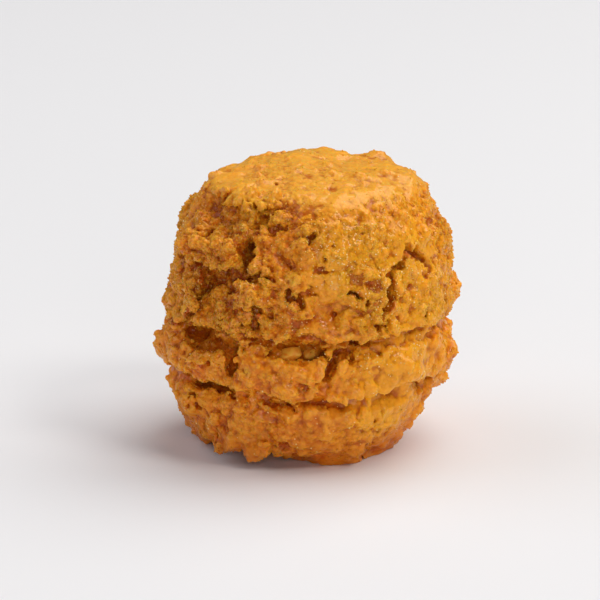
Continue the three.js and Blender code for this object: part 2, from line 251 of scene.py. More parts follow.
# Almond bits fused in the dough: where, and how far they spread. They are sunk by a share of that.
FUSED_ALMONDS = [
    ((-52, 29.7), 0.8),
    ((-42, 29.6), 0.7),
    ((-33, 27.4), 0.7),
    ((-5, 22.8), 0.9),
    ((17, 16.4), 0.5),
    ((-26, 29.6), 0.8),
    ((30, 25.0), 0.7),
    ((52, 18.0), 0.7),
    ((-60, 17.5), 0.7),
    ((-25, 12.0), 0.7),
    ((95, 21.0), 0.8),
    ((130, 12.0), 0.7),
    ((165, 24.0), 0.8),
    ((205, 18.0), 0.8),
    ((240, 10.0), 0.7),
    ((280, 25.0), 0.8),
]
ALMOND_STRETCH = (0.7, 1.1)
ALMOND_SUNK = 0.5
ALMOND_BLEND = 0.1

# Sugar lies in these patches, each a place and how far it spreads, and thinly everywhere. The
# patches are where the dough glints, and the sugar's near-white colour paints those glints.
SUGAR_PATCHES = [
    ((25, 13.0), 1.1), ((34, 12.8), 1.4), ((51, 14.2), 1.3), ((-6, 18.4), 2.0), ((15, 23.7), 2.6),
    ((29, 26.6), 2.4), ((30, 20.0), 2.0), ((-59, 18.5), 1.6), ((140, 20.0), 3.0),
    ((220, 12.0), 2.5), ((265, 23.0), 2.5), ((42, 22.0), 2.5), ((43, 12.5), 1.5), ((8, 26.0), 2.0),
]
SUGAR_ELSEWHERE = 0.04

# The dough is browner towards the foot, fully at the lower of these heights and not at the upper.
BROWNER_FROM = 0.5
BROWNER_TO = 5.5

# Browner patches, placed as the sugar is. Those on the front paint shade into its hollows and
# recesses; those on the back are browner dough.
SHADE_AND_BROWN_PATCHES = [
    ((3, 18.6), 2.2), ((-38, 21.6), 1.6), ((-54, 22.3), 1.8), ((-30, 26.0), 2.0), ((-50, 14.5), 2.0),
    ((5, 6.5), 2.5), ((120, 22.0), 3.0), ((170, 12.0), 3.0), ((245, 18.0), 3.0),
]

# Golden patches. On the right flank and front and on the lip at the front left they are painted
# light where the lamps fall; on the back they are yellower dough.
GOLDEN = [
    ((55, 22.0), 10.0),
    ((20, 25.0), 5.0),
    ((42, 12.0), 6.0),
    ((35, 6.0), 5.0),
    ((-52, 29.8), 2.0),
    ((-37, 29.8), 2.0),
    ((-22, 29.9), 2.0),
    ((140, 20.0), 8.0),
    ((250, 22.0), 7.0),
]

# The camera: what it looks at, from how far and how high, and the width it sees at that distance.
AIM = (-0.73, 0.0, 16.2)
DISTANCE = 400
ELEVATION = 15.5
SEEN_WIDTH = 67.57
SENSOR = 36

# Square lamps one metre off, by azimuth and elevation, with their size in metres and power in
# watts, and the light of the room.
LAMPS = {
    "key": {"azimuth": 122, "elevation": 63, "size": 1.0, "power": 9.5, "colour": (1.0, 0.98, 0.93)},
    "front": {"azimuth": 5, "elevation": 15, "size": 0.5, "power": 2.4, "colour": (1.0, 0.99, 0.96)},
    "glint": {"azimuth": 52, "elevation": 46, "size": 0.25, "power": 2.4, "colour": (1.0, 0.97, 0.9)},
    "left": {"azimuth": 262, "elevation": 40, "size": 0.9, "power": 3.2, "colour": (0.94, 0.96, 1.0)},
}
WORLD = 0.06

# Colours, as sRGB from 0 to 255.
DOUGH = (240, 144, 18)
DEEP = (224, 118, 12)
# PALE paints the highlight on the pressed top and tints the sugar.
PALE = (236, 188, 80)
# GOLD paints light on the lit side and is yellower dough on the back.
GOLD = (244, 178, 28)
# CREST and BROWN are random tone and also painted highlight and painted shade.
CREST = (248, 170, 48)
BROWN = (176, 69, 4)
# CRACK is painted shade deep in the cracks.
CRACK = (132, 42, 3)
ALMOND = (250, 188, 64)
# Near-white sugar, partly a painted glint.
SUGAR_AND_GLINT_WHITE = (254, 222, 150)
FLOOR = (234, 234, 239)

# The floor's size in metres and how rough it is.
FLOOR_SIZE = 4
FLOOR_ROUGHNESS = 0.7

# The finest grain of the dough, which only its look has: its size and height. Its colour is painted
# shade between the grains and painted highlight in their middles.
GRAIN_SIZE = 0.42
GRAIN_HEIGHT = 0.3

# Noise in the dough's look, by the size of its features.
DOUGH_NOISE = {"patches": 3.0, "lumps": 1.2, "specks": 0.3, "shine": 0.6}
NOISE_DETAIL = 2.0

# The dough's colour in layers over plain dough: what a layer depends on, the value of that at which
# it starts and the one at which it is full, the most of it that shows, and its colour. The first
# three depend on noise, the grain on the finest grain, and the others on what dress() stores.
DOUGH_LAYERS = [
    ("patches", 0.38, 0.65, 1.0, DEEP),
    ("lumps", 0.55, 0.7, 0.4, CREST),
    ("specks", 0.5, 0.7, 0.15, BROWN),
    # Painted shade in the hollows at the front, browner dough on the back.
    ("shade_and_brown", 0.0, 1.0, 0.45, BROWN),
    # Painted highlight: the pressed top is paler where light falls on it.
    ("top", 0.0, 1.0, 0.5, PALE),
    # Painted light on the right, the front and the front-left lip, yellower dough on the back.
    ("golden", 0.0, 1.0, 0.6, GOLD),
    ("tint", 0.6, 2.4, 0.5, CREST),
    ("tint", -0.8, -2.4, 0.25, BROWN),
    ("almond", 0.3, 0.7, 0.7, ALMOND),
    # Lighter crests and browner hollows, fine and broad: painted highlight and painted shade.
    ("fine", 0.0, 0.05, 0.5, CREST),
    ("fine", -0.01, -0.08, 0.6, BROWN),
    ("broad", 0.0, 0.16, 0.35, CREST),
    ("broad", -0.06, -0.36, 0.65, BROWN),
    # Browner between the finest grains, paler in their middles: painted shade and painted highlight.
    ("grain", 0.45, 0.85, 0.42, BROWN),
    ("grain", 0.4, 0.1, 0.8, CREST),
    ("base", 0.0, 1.0, 0.45, BROWN),
    # Painted shade: darker deep below the closed surface, in cracks and under the lips, and browner on
    # crack walls.
    ("depth", -0.6, -1.9, 0.65, CRACK),
    ("crack", -0.25, -0.05, 0.8, BROWN),
]

# How rough the dough and almonds are: the range of noise that is read and the roughness that it
# turns into.
DOUGH_ROUGHNESS = (0.35, 0.7, 0.36, 0.62)
ALMOND_ROUGHNESS = (0.3, 0.7, 0.35, 0.55)

# Noise on almonds and sugar: the size of its features, and the range of it over which one colour
# turns into the other. An almond's bumps have a size and a height too.
ALMOND_STREAKS = 0.5
ALMOND_STREAK_RANGE = (0.45, 0.75)
ALMOND_SHINE = 0.4
ALMOND_BUMPS = 0.25
ALMOND_BUMP_HEIGHT = 0.03
SUGAR_PATCH = 0.8
SUGAR_PATCH_RANGE = (0.4, 0.6)

# What else each shader is set to.
DOUGH_SHADER = {
    "Specular IOR Level": 0.08,
    "Coat Weight": 0.38,
    "Coat Roughness": 0.12,
    "Subsurface Weight": 0.5,
    "Subsurface Radius": (1.0, 0.4, 0.1),
    "Subsurface Scale": 0.9 * MM,
}
ALMOND_SHADER = {
    "Subsurface Weight": 0.2,
    "Subsurface Radius": (1.0, 0.6, 0.2),
    "Subsurface Scale": 0.5 * MM,
}
SUGAR_SHADER = {"Roughness": 0.15, "Specular IOR Level": 0.8}


def linear(colour):
    """An sRGB colour from 0 to 255 as linear RGBA."""
    channels = [c / 255 for c in colour]
    return [c / 12.92 if c <= 0.04045 else ((c + 0.055) / 1.055) ** 2.4 for c in channels] + [1.0]


def mesh_arrays(mesh):
    """A mesh's points in millimetres and its triangles."""
    mesh.calc_loop_triangles()
    points = np.empty(len(mesh.vertices) * 3, np.float32)
    mesh.vertices.foreach_get("co", points)
    triangles = np.empty(len(mesh.loop_triangles) * 3, np.int32)
    mesh.loop_triangles.foreach_get("vertices", triangles)
    return points.reshape(-1, 3) / MM, triangles.reshape(-1, 3)


class Field:
    """A signed distance to the surface on a grid, negative inside, and each point's tint. grown()
    adds the grids that the colour's painted shade and highlight are read from: skin, walls, fine and
    broad."""

    def __init__(self, points, triangles):
        self.low = np.floor(points.min(0) / VOXEL).astype(int) - MARGIN_VOXELS
        high = np.ceil(points.max(0) / VOXEL).astype(int) + MARGIN_VOXELS
        self.shape = tuple(high - self.low)
        self.distance = self.distance_to(points, triangles=triangles.astype(np.uint32))
        self.tint = np.zeros(self.shape, np.float32)

    def distance_to(self, points, **faces):
        """The signed distance to a closed mesh."""
        level_set = vdb.FloatGrid.createLevelSetFromPolygons(
            np.ascontiguousarray(points, np.float32),
            transform=vdb.createLinearTransform(voxelSize=VOXEL),
            halfWidth=MARGIN_VOXELS,
            **faces,
        )
        distance = np.empty(self.shape, np.float32)
        level_set.copyToArray(distance, ijk=self.corner())
        return distance

    def corner(self):
        return tuple(int(i) for i in self.low)

    def close_cracks(self, reach):
        """Fills every crack narrower than twice the reach: the surface is moved out and back in."""
        points, quads = self.polygons(reach)
        self.distance = self.distance_to(points, quads=quads) + reach

    def near(self, reach):
        """The grid points within reach of the surface, and their places in millimetres."""
        near = np.nonzero(np.abs(self.distance) < reach)
        return near, (np.stack(near, 1) + self.low) * VOXEL

    def cracks(self, torn):
        """The cracks of an earlier distance, run straight out through the crumb as they are at the
        crack depth, with edges that wander and rough walls."""
        near, places = self.near(NEAR_REACH)
        over = np.maximum(softened(self.distance, 1) + CRACK_DEPTH, 0)[near]
        slopes = np.gradient(softened(self.distance, 2), VOXEL)
        shift = grit(places, CRACK_WANDER, SEEDS["crack wander"], parts=3) / VOXEL
        moved = [near[a] + shift[a] - over * slopes[a][near] / VOXEL for a in range(3)]
        walls = np.where(self.distance > 0, -NEAR_REACH, torn)
        walls[near] = sampled(torn, moved) + grit(places, CRACK_ROUGHNESS, SEEDS["crack walls"])[0]
        return walls

    def undercut(self, torn):
        """Moves the dough below each crack in, most right under the crack."""
        width = UNDERCUT_SHARE * softened(np.clip(torn - self.distance, 0, 1), 2)
        depth = np.minimum(width, UNDERCUT_MOST)
        depth[:, :, int(UNDERCUT_BELOW / VOXEL) - self.low[2]:] = 0
        fading = UNDERCUT_MOST * VOXEL / UNDERCUT_HEIGHT
        for row in reversed(range(self.shape[2] - 1)):
            depth[:, :, row] = np.maximum(depth[:, :, row], depth[:, :, row + 1] - fading)
        self.distance = self.distance + softened(depth, 1)

    def block(self, at, size, lean):
        """A block centred on the surface whose top leans in: its middle, radii and turn."""
        middle, _ = self.outermost(*at)
        a, lean = math.radians(at[0]), math.radians(lean)
        across = np.array([math.cos(a), math.sin(a), 0.0])
        out = np.array([math.sin(a), -math.cos(a), 0.0])
        up = np.array([0.0, 0.0, 1.0])
        along = up * math.cos(lean) - out * math.sin(lean)
        through = out * math.cos(lean) + up * math.sin(lean)
        radii = np.array([size[0] / 2, size[1] / 2, size[2]])
        return middle, radii, np.stack([across, along, through], axis=1)

    def wander(self, wander):
        """Reads the distance from a point nearby, so that the body comes out uneven."""
        near, places = self.near(NEAR_REACH)
        shift = grit(places, wander, SEEDS["body wander"], parts=3) / VOXEL
        self.distance[near] = sampled(self.distance, [near[a] + shift[a] for a in range(3)])

    def granulate(self):
        """Covers the surface with fused grains and grit, lower where it is smooth."""
        near, places = self.near(FINE_REACH)
        share = SMOOTH_GRAINS + (1 - SMOOTH_GRAINS) * self.rough(places)
        relief = grit(places, GRIT, SEEDS["grit"])[0]
        tint = 0
        for k, (size, height) in enumerate(FUSED_GRAINS.items()):
            gap, own = cells(places, size, SEEDS["fused grains"] + k)
            relief += height * np.clip(gap / CELL_MEAN - 1, -1, DEEPEST_VALLEY)
            tint = tint + own - 0.5
        self.distance[near] += share * relief
        self.tint[near] += FUSED_TINT * tint

    def surface(self):
        """Grid points next to the surface: their places in millimetres and outward normals."""
        near = np.argwhere(np.abs(self.distance) < SURFACE_SHARE * VOXEL)
        inner = np.all((near > 1) & (near < np.array(self.shape) - 2), axis=1)
        near = near[inner]
        slope = np.empty((len(near), 3), np.float32)
        for axis in range(3):
            step = np.eye(3, dtype=int)[axis]
            slope[:, axis] = self.distance[tuple((near + step).T)] - self.distance[tuple((near - step).T)]
        slope /= np.maximum(np.linalg.norm(slope, axis=1, keepdims=True), 1e-6)
        return (near + self.low) * VOXEL, slope

    def rough(self, places):
        """How rough the surface is, from 0 on smooth plates to 1 where it is torn."""
        azimuth = np.degrees(np.arctan2(places[:, 0], -places[:, 1]))
        off = (azimuth - TORN_AZIMUTH + 180) % 360 - 180
        torn = ROUGH_MEAN + TORN_MORE * np.exp(-((off / TORN_SPREAD) ** 2))
        torn = torn + PATCH_MORE * noise(places, PATCH_SIZE, SEEDS["rough patches"])[0]
        upper = smooth_step(places[:, 2], UPPER_FROM, UPPER_TO)
        top = smooth_step(places[:, 2], TOP_FROM, TOP_TO)
        foot = smooth_step(-places[:, 2], -FOOT_HEIGHT, 0)
        rough = np.clip(torn, ROUGH_LEAST, 1) * (1 - TOP_SMOOTHER * top) * (1 - FOOT_SMOOTHER * foot)
        return rough * (LOWER_ROUGH + (1 - LOWER_ROUGH) * upper)

    def add_grain(self, centre, radii, turn, blend, tint):
        window, gap = self.around(centre, radii, turn)
        old = self.distance[window]
        self.tint[window] = np.where(gap < old, tint, self.tint[window])
        self.distance[window] = smooth_least(old, gap, blend)

    def cut_grain(self, centre, radii, turn, blend):
        window, gap = self.around(centre, radii, turn)
        self.distance[window] = -smooth_least(-self.distance[window], gap, blend)

    def around(self, centre, radii, turn):
        """The grid window round a rounded block and the distance to it there."""
        reach = radii.max() + GRAIN_ROOM * VOXEL
        low = np.floor((centre - reach) / VOXEL).astype(int) - self.low
        high = np.ceil((centre + reach) / VOXEL).astype(int) - self.low
        low = np.clip(low, 0, self.shape)
        high = np.clip(high, 0, self.shape)
        axes = [np.arange(a, b, dtype=np.float32) for a, b in zip(low, high)]
        grid = np.stack(np.meshgrid(*axes, indexing="ij"), -1)
        offset = (grid + self.low) * VOXEL - centre
        scaled = np.abs(offset @ turn) / radii
        gap = ((scaled**GRAIN_POWER).sum(-1) ** (1 / GRAIN_POWER) - 1) * radii.min()
        return tuple(slice(a, b) for a, b in zip(low, high)), gap.astype(np.float32)

    def extend_base(self):
        """Runs the foot straight down, so that crumb leaves its edge on the floor."""
        row = round(FOOT_EDGE / VOXEL) - self.low[2]
        self.distance[:, :, :row] = self.distance[:, :, row:row + 1]

    def heights(self):
        """The height of each layer of the grid in millimetres."""
        return ((np.arange(self.shape[2]) + self.low[2]) * VOXEL).astype(np.float32)

    def flatten_base(self):
        self.distance = np.maximum(self.distance, -self.heights())

    def polygons(self, level=0.0):
        """The surface at a distance, as points in millimetres and quads."""
        grid = vdb.FloatGrid(background=FAR)
        grid.transform = vdb.createLinearTransform(voxelSize=VOXEL)
        grid.copyFromArray(self.distance, ijk=self.corner())
        points, _, quads = grid.convertToPolygons(isovalue=level, adaptivity=0.0)
        return points, quads

    def read(self, grid, points):
        """A grid's values at points in millimetres. The grid may be a coarser one."""
        steps = [round(full / some) for full, some in zip(self.shape, grid.shape)]
        return sampled(grid, ((points / VOXEL - self.low) / steps).T)

    def outermost(self, azimuth, height):
        """The surface's outermost point at an azimuth and height, and its outward normal."""
        a = math.radians(azimuth)
        out = np.array([math.sin(a), -math.cos(a), 0.0])
        reach = np.arange(0.5 * min(self.shape) * VOXEL, 0, -0.5 * VOXEL)
        line = out * reach[:, None] + [0, 0, height]
        first = np.argmax(self.read(self.distance, line) < 0)
        around = line[first] + np.concatenate([np.eye(3), -np.eye(3)]) * 2 * VOXEL
        ahead, behind = np.split(self.read(self.distance, around), 2)
        return line[first], (ahead - behind) / np.linalg.norm(ahead - behind)


def noise(places, wavelength, seed, parts=1):
    """Smooth seeded noise from about -1 to 1 at places in millimetres, in independent parts."""
    rng = np.random.default_rng([SEED, seed])
    knots = rng.uniform(-KNOT_HEIGHT, KNOT_HEIGHT, (NOISE_PERIOD,) * 3 + (parts,)).astype(np.float32)
    place = (places @ random_turn(rng) / wavelength).T.astype(np.float32)
    whole = np.floor(place).astype(np.int32)
    share = place - whole
    share = share * share * (3 - 2 * share)
    total = 0
    for corner in np.ndindex(2, 2, 2):
        x, y, z = [share[a] if corner[a] else 1 - share[a] for a in range(3)]
        total = total + (x * y * z)[:, None] * knots[lattice(whole, corner)]
    return total.T


def lattice(whole, step):
    """Indices of lattice points a step away, on a lattice that repeats."""
    return tuple((whole[a] + step[a]) & (NOISE_PERIOD - 1) for a in range(3))


def grit(places, heights, seed, parts=1):
    """Noise of several wavelengths, each with its own height."""
    total = 0
    for k, (size, height) in enumerate(heights.items()):
        total = total + height * noise(places, size, seed + k, parts)
    return total


def cells(places, size, seed):
    """Cells of about a size strewn at random: how far each place is from the middle of its cell,
    as a square in cells, and its cell's own number from 0 to 1."""
    rng = np.random.default_rng([SEED, seed])
    table = rng.uniform(0, 1, (NOISE_PERIOD,) * 3 + (4,)).astype(np.float32)
    place = (places @ random_turn(rng) / size).T.astype(np.float32)
    whole = np.floor(place).astype(np.int32)
    least = np.full(len(places), np.inf, np.float32)
    own = np.zeros(len(places), np.float32)
    for step in np.ndindex(3, 3, 3):
        x, y, z, number = table[lattice(whole, step)].T
        middle = (whole[0] + step[0] + x, whole[1] + step[1] + y, whole[2] + step[2] + z)
        gap = sum((middle[a] - 1 - place[a]) ** 2 for a in range(3)) + CELL_SPREAD * number
        nearer = gap < least
        least = np.where(nearer, gap, least)
        own = np.where(nearer, number, own)
    return least, own


def softened(field, passes):
    """A grid blurred by that many passes of a 1-2-1 filter along each axis."""
    for _ in range(passes):
        for axis in range(3):
            room = [(1, 1) if a == axis else (0, 0) for a in range(3)]
            padded = np.moveaxis(np.pad(field, room, "edge"), axis, 0)
            field = np.moveaxis(0.25 * padded[:-2] + 0.5 * padded[1:-1] + 0.25 * padded[2:], 0, axis)
    return np.ascontiguousarray(field)


def sampled(field, places):
    """A grid read between its points, at places given as three index arrays."""
    low = []
    share = []
    for axis, place in enumerate(places):
        place = np.clip(place, 0, field.shape[axis] - 1.001)
        whole = place.astype(np.int32)
        low.append(whole)
        share.append((place - whole).astype(np.float32))
    total = 0
    for corner in np.ndindex(2, 2, 2):
        weight = 1
        for axis in range(3):
            weight = weight * (share[axis] if corner[axis] else 1 - share[axis])
        total = total + weight * field[tuple(low[axis] + corner[axis] for axis in range(3))]
    return total


def smooth_least(a, b, blend):
    """The lesser of two distances, rounded over where they are nearly equal."""
    share = np.clip(0.5 + 0.5 * (b - a) / blend, 0, 1)
    return b + (a - b) * share - blend * share * (1 - share)


def smooth_step(value, low, high):
    t = np.clip((value - low) / (high - low), 0, 1)
    return t * t * (3 - 2 * t)


def random_turns(rng, count):
    """Random rotation matrices."""
    q, r = np.linalg.qr(rng.normal(size=(count, 3, 3)))
    return q * np.sign(np.diagonal(r, axis1=1, axis2=2))[:, None]


def random_turn(rng):
    return random_turns(rng, 1)[0]


def scatter(field, kind, seed, is_pit=False):
    """Adds or takes grains of one kind at seeded places on the surface."""
    rng = np.random.default_rng([SEED, seed])
    places, normals = field.surface()
    rough = field.rough(places)
    torn = abs(kind["torn"])
    liked = rough if kind["torn"] > 0 else (1 - rough) ** 2
    weight = (1 - torn) + torn * liked
    weight = weight * (places[:, 2] > LOWEST_GRAIN)
    if is_pit:
        weight = weight * (places[:, 2] < TOP_FROM)
    picked = rng.choice(len(places), kind["count"], p=weight / weight.sum())
    for i in picked:
        radius = rng.uniform(*kind["radius"])
        height = rng.uniform(*kind["height"]) * (SMOOTH_HEIGHT + ROUGH_HEIGHT * rough[i])
        radii = radius * rng.uniform(*GRAIN_STRETCH, 3)
        turn = random_turn(rng)
        if is_pit:
            centre = places[i] + normals[i] * (radius - height)
            field.cut_grain(centre, radii, turn, kind["blend"])
        else:
            centre = places[i] - normals[i] * (radius - height)
            field.add_grain(centre, radii, turn, kind["blend"], rng.normal())


def add_clusters(field, seed):
    """Adds the clusters of large crumbs, each crumb on the surface as it then is."""
    rng = np.random.default_rng([SEED, seed])
    for cluster in CLUSTERS:
        azimuth, height = cluster["at"]
        middle, _ = field.outermost(azimuth, height)
        places, normals = field.surface()
        off = np.linalg.norm(places - middle, axis=1)
        weight = np.exp(-((off / cluster["spread"]) ** 2))
        for i in rng.choice(len(places), cluster["count"], p=weight / weight.sum()):
            radius = rng.uniform(*cluster["radius"])
            centre = places[i] + normals[i] * (rng.uniform(*CLUSTER_HEIGHT) - 1) * radius
            radii = radius * rng.uniform(*CLUSTER_STRETCH, 3)
            field.add_grain(centre, radii, random_turn(rng), CLUSTER_BLEND, rng.normal())


def add_almonds(field, seed):
    """Adds the almond bits that are fused in the dough, partly sunk."""
    rng = np.random.default_rng([SEED, seed])
    for at, spread in FUSED_ALMONDS:
        middle, normal = field.outermost(*at)
        radii = spread * rng.uniform(*ALMOND_STRETCH, 3)
        centre = middle - ALMOND_SUNK * spread * normal
        field.add_grain(centre, radii, random_turn(rng), ALMOND_BLEND, 0)


def grown():
    """The CAD solid with crumb all over and torn cracks through it, as a field."""
    field = Field(*mesh_arrays(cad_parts[NODE].data))
    torn = softened(field.distance, EDGE_SOFTENING)
    field.distance = torn
    field.close_cracks(CRACK_REACH)
    field.skin = field.distance.copy()
    field.walls = field.cracks(torn)
    field.undercut(torn)
    field.extend_base()
    scatter(field, SOFT_LUMPS, SEEDS["soft lumps"])
    for bulge in BULGES:
        field.add_grain(*field.block(**bulge, lean=0), BLOCK_BLEND, 0)
    for hollow in HOLLOWS:
        field.cut_grain(*field.block(**hollow, lean=LIP_LEAN), BLOCK_BLEND)
    field.wander(BODY_WANDER)
    for k, kind in enumerate(COARSE_CRUMB):
        scatter(field, kind, SEEDS["coarse crumb"] + k)
    top = smooth_step(field.heights(), TOP_FROM, TOP_TO)
    floor_depth = CRACK_FLOOR + (TOP_CRACK_FLOOR - CRACK_FLOOR) * top
    open_cracks = np.minimum(field.walls + CRACK_WIDENING, field.skin + floor_depth)
    field.distance = -smooth_least(-field.distance, -open_cracks, CRACK_ROUNDING)
    for k, kind in enumerate(PITS):
        scatter(field, kind, SEEDS["pits"] + k, is_pit=True)
    add_clusters(field, SEEDS["clusters"])
    add_almonds(field, SEEDS["fused almonds"])
    for k, kind in enumerate(FINE_CRUMB):
        scatter(field, kind, SEEDS["fine crumb"] + k)
    field.granulate()
    field.flatten_base()
    field.fine = softened(field.distance, FINE_PASSES)
    field.broad = softened(field.distance[::BROAD_STEP, ::BROAD_STEP, ::BROAD_STEP], BROAD_PASSES)
    return field


def mesh_of(name, points, faces, smooth):
    """A mesh from points in millimetres."""
    mesh = bpy.data.meshes.new(name)
    corners = faces.shape[1]
    mesh.vertices.add(len(points))
    mesh.vertices.foreach_set("co", (points * MM).astype(np.float32).ravel())
    mesh.loops.add(faces.size)
    mesh.loops.foreach_set("vertex_index", faces.astype(np.int32).ravel())
    mesh.polygons.add(len(faces))
    mesh.polygons.foreach_set("loop_start", np.arange(0, faces.size, corners, dtype=np.int32))
    mesh.update(calc_edges=True)
    mesh.polygons.foreach_set("use_smooth", np.full(len(mesh.polygons), smooth))
    return mesh


def piece(name, mesh, material):
    """An object that rides on the macaron's body."""
    mesh.materials.append(material)
    ob = bpy.data.objects.new(name, mesh)
    bpy.context.collection.objects.link(ob)
    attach(ob, "root")
    return ob


def thinned(mesh):
    """A mesh brought under the triangle limit."""
    ob = bpy.data.objects.new("thick", mesh)
    bpy.context.collection.objects.link(ob)
    triangles = len(mesh.loops) - 2 * len(mesh.polygons)
    modifier = ob.modifiers.new("thin", "DECIMATE")
    modifier.ratio = min(1, MOST_TRIANGLES / triangles)
    bpy.context.view_layer.objects.active = ob
    ob.select_set(True)
    bpy.ops.object.modifier_apply(modifier="thin")
    bpy.data.objects.remove(ob)
    return mesh


def dress(mesh, field, points, tint):
    """Stores on each point what its colour depends on, read at the points given."""
    values = {
        "tint": tint,
        # Painted shade and highlight in hollows, on crests, deep in cracks and on crack walls.
        "fine": field.read(field.fine, points),
        "broad": field.read(field.broad, points),
        "depth": field.read(field.skin, points),
        "crack": field.read(field.walls, points),
        "rough": field.rough(points),
        # Painted highlight on the pressed top, painted light in the golden patches and painted shade in
        # the front patches.
        "top": smooth_step(points[:, 2], TOP_FROM, TOP_TO),
        "base": smooth_step(-points[:, 2], -BROWNER_TO, -BROWNER_FROM),
        "shade_and_brown": closeness(field, points, SHADE_AND_BROWN_PATCHES),
        "golden": closeness(field, points, GOLDEN),
        "almond": closeness(field, points, FUSED_ALMONDS),
    }
    for name, value in values.items():
        attribute = mesh.attributes.new(name, "FLOAT", "POINT")
        attribute.data.foreach_set("value", value.astype(np.float32))


def closeness(field, places, patches):
    """How close places are to patches, each an azimuth and height with its spread."""
    total = 0
    for at, spread in patches:
        middle, _ = field.outermost(*at)
        off = np.linalg.norm(places - middle, axis=1)
        total = total + np.exp(-((off / spread) ** 2))
    return total


def crumb_mesh(field):
    """The field's surface as a mesh."""
    points, quads = field.polygons()
    mesh = thinned(mesh_of("crumb", points, quads[:, ::-1], True))
    points, _ = mesh_arrays(mesh)
    dress(mesh, field, points, field.read(field.tint, points))
    return mesh


def octahedron():
    """An eight-sided crystal's points and triangles."""
    points = np.concatenate([np.eye(3), -np.eye(3)])
    upper = [[0, 1, 2], [1, 3, 2], [3, 4, 2], [4, 0, 2]]
    lower = [[b, a, 5] for a, b, _ in upper]
    return points, np.array(upper + lower)


def unit_ball():
    """A ball's points and triangles."""
    ball = bmesh.new()
    bmesh.ops.create_icosphere(ball, subdivisions=3, radius=1.0)
    points = np.array([v.co[:] for v in ball.verts])
    triangles = np.array([[v.index for v in face.verts] for face in ball.faces])
    ball.free()
    return points, triangles


def chipped(balls, rng):
    """Balls with flat faces cut on them at random: points beyond a face are pushed back onto it."""
    for _ in range(CHIPS):
        facing = rng.normal(size=(len(balls), 1, 3))
        facing /= np.linalg.norm(facing, axis=2, keepdims=True)
        out = rng.uniform(*CHIPPED, (len(balls), 1, 1))
        over = np.maximum((balls * facing).sum(2, keepdims=True) - out, 0)
        balls = balls - over * facing
    return balls


def speck_arrays(shapes, triangles, places, normals, radii, proud, turns):
    """Specks at places on the surface, one for each shape: their points and triangles."""
    centres = places + normals * (proud * radii.min(1))[:, None]
    points = np.einsum("npk,nkj->npj", shapes * radii[:, None], turns) + centres[:, None]
    faces = triangles + (np.arange(len(places)) * shapes.shape[1])[:, None, None]
    return points.reshape(-1, 3), faces.reshape(-1, 3)


def crystals(places, normals, kind, rng):
    """Eight-sided specks of a kind, each with its own size, stretch and turn."""
    shape, triangles = octahedron()
    count = len(places)
    shapes = np.repeat(shape[None], count, axis=0)
    radii = rng.uniform(*kind["radius"], (count, 1)) * rng.uniform(*kind["stretch"], (count, 3))
    proud = rng.uniform(*kind["proud"], count)
    turns = random_turns(rng, count)
    return speck_arrays(shapes, triangles, places, normals, radii, proud, turns)


def spots(mesh, count, weigh, rng):
    """Seeded places on a mesh with their normals, likelier where the weight is more."""
    points, triangles = mesh_arrays(mesh)
    a, b, c = points[triangles[:, 0]], points[triangles[:, 1]], points[triangles[:, 2]]
    across = np.cross(b - a, c - a)
    area = np.linalg.norm(across, axis=1)
    weight = area * weigh((a + b + c) / 3)
    picked = rng.choice(len(triangles), count, p=weight / weight.sum())
    share = rng.dirichlet((1, 1, 1), count)
    places = share[:, :1] * a[picked] + share[:, 1:2] * b[picked] + share[:, 2:] * c[picked]
    return places, across[picked] / area[picked, None]


def granule_mesh(field, surface):
    """Loose grains of almond meal on the surface."""
    rng = np.random.default_rng([SEED, SEEDS["granules"]])

    def weigh(places):
        upper = smooth_step(places[:, 2], UPPER_FROM, UPPER_TO)
        top = smooth_step(places[:, 2], TOP_FROM, TOP_TO)
        share = (LOWER_GRANULES + (1 - LOWER_GRANULES) * upper) * (1 - TOP_LACKS * top)
        return field.rough(places) * share * (places[:, 2] > LOWEST_SPECK)

    places, normals = spots(surface, GRANULES["count"], weigh, rng)
    points, faces = crystals(places, normals, GRANULES, rng)
    mesh = mesh_of("granules", points, faces, False)
    corners = len(points) // len(places)
    tint = np.repeat(rng.uniform(*GRANULE_TINT, len(places)), corners)
    dress(mesh, field, np.repeat(places, corners, axis=0), tint)
    return mesh


def sugar_mesh(field, surface):
    """Sugar crystals, thick in the patches and thin elsewhere."""
    rng = np.random.default_rng([SEED, SEEDS["sugar"]])

    def weigh(places):
        sweet = SUGAR_ELSEWHERE + closeness(field, places, SUGAR_PATCHES)
        return sweet * (places[:, 2] > LOWEST_SPECK)

    places, normals = spots(surface, SUGAR["count"], weigh, rng)
    points, faces = crystals(places, normals, SUGAR, rng)
    return mesh_of("sugar", points, faces, False)


def almond_mesh(field):
    """The bits of chopped almond in the nut pocket, which lie along the seam."""
    rng = np.random.default_rng([SEED, SEEDS["shown almonds"]])
    spot = [field.outermost(*bit["at"]) for bit in SHOWN_ALMONDS]
    places = np.array([place for place, _ in spot])
    normals = np.array([normal for _, normal in spot])
    radii = np.array([bit["radii"] for bit in SHOWN_ALMONDS])
    proud = np.array([bit["proud"] for bit in SHOWN_ALMONDS])
    turns = np.array([field.block(bit["at"], bit["radii"], 0)[2].T for bit in SHOWN_ALMONDS])
    ball, triangles = unit_ball()
    bits = chipped(np.repeat(ball[None], len(places), axis=0), rng)
    points, faces = speck_arrays(bits, triangles, places, normals, radii, proud, turns)
    return mesh_of("almonds", points, faces, True)


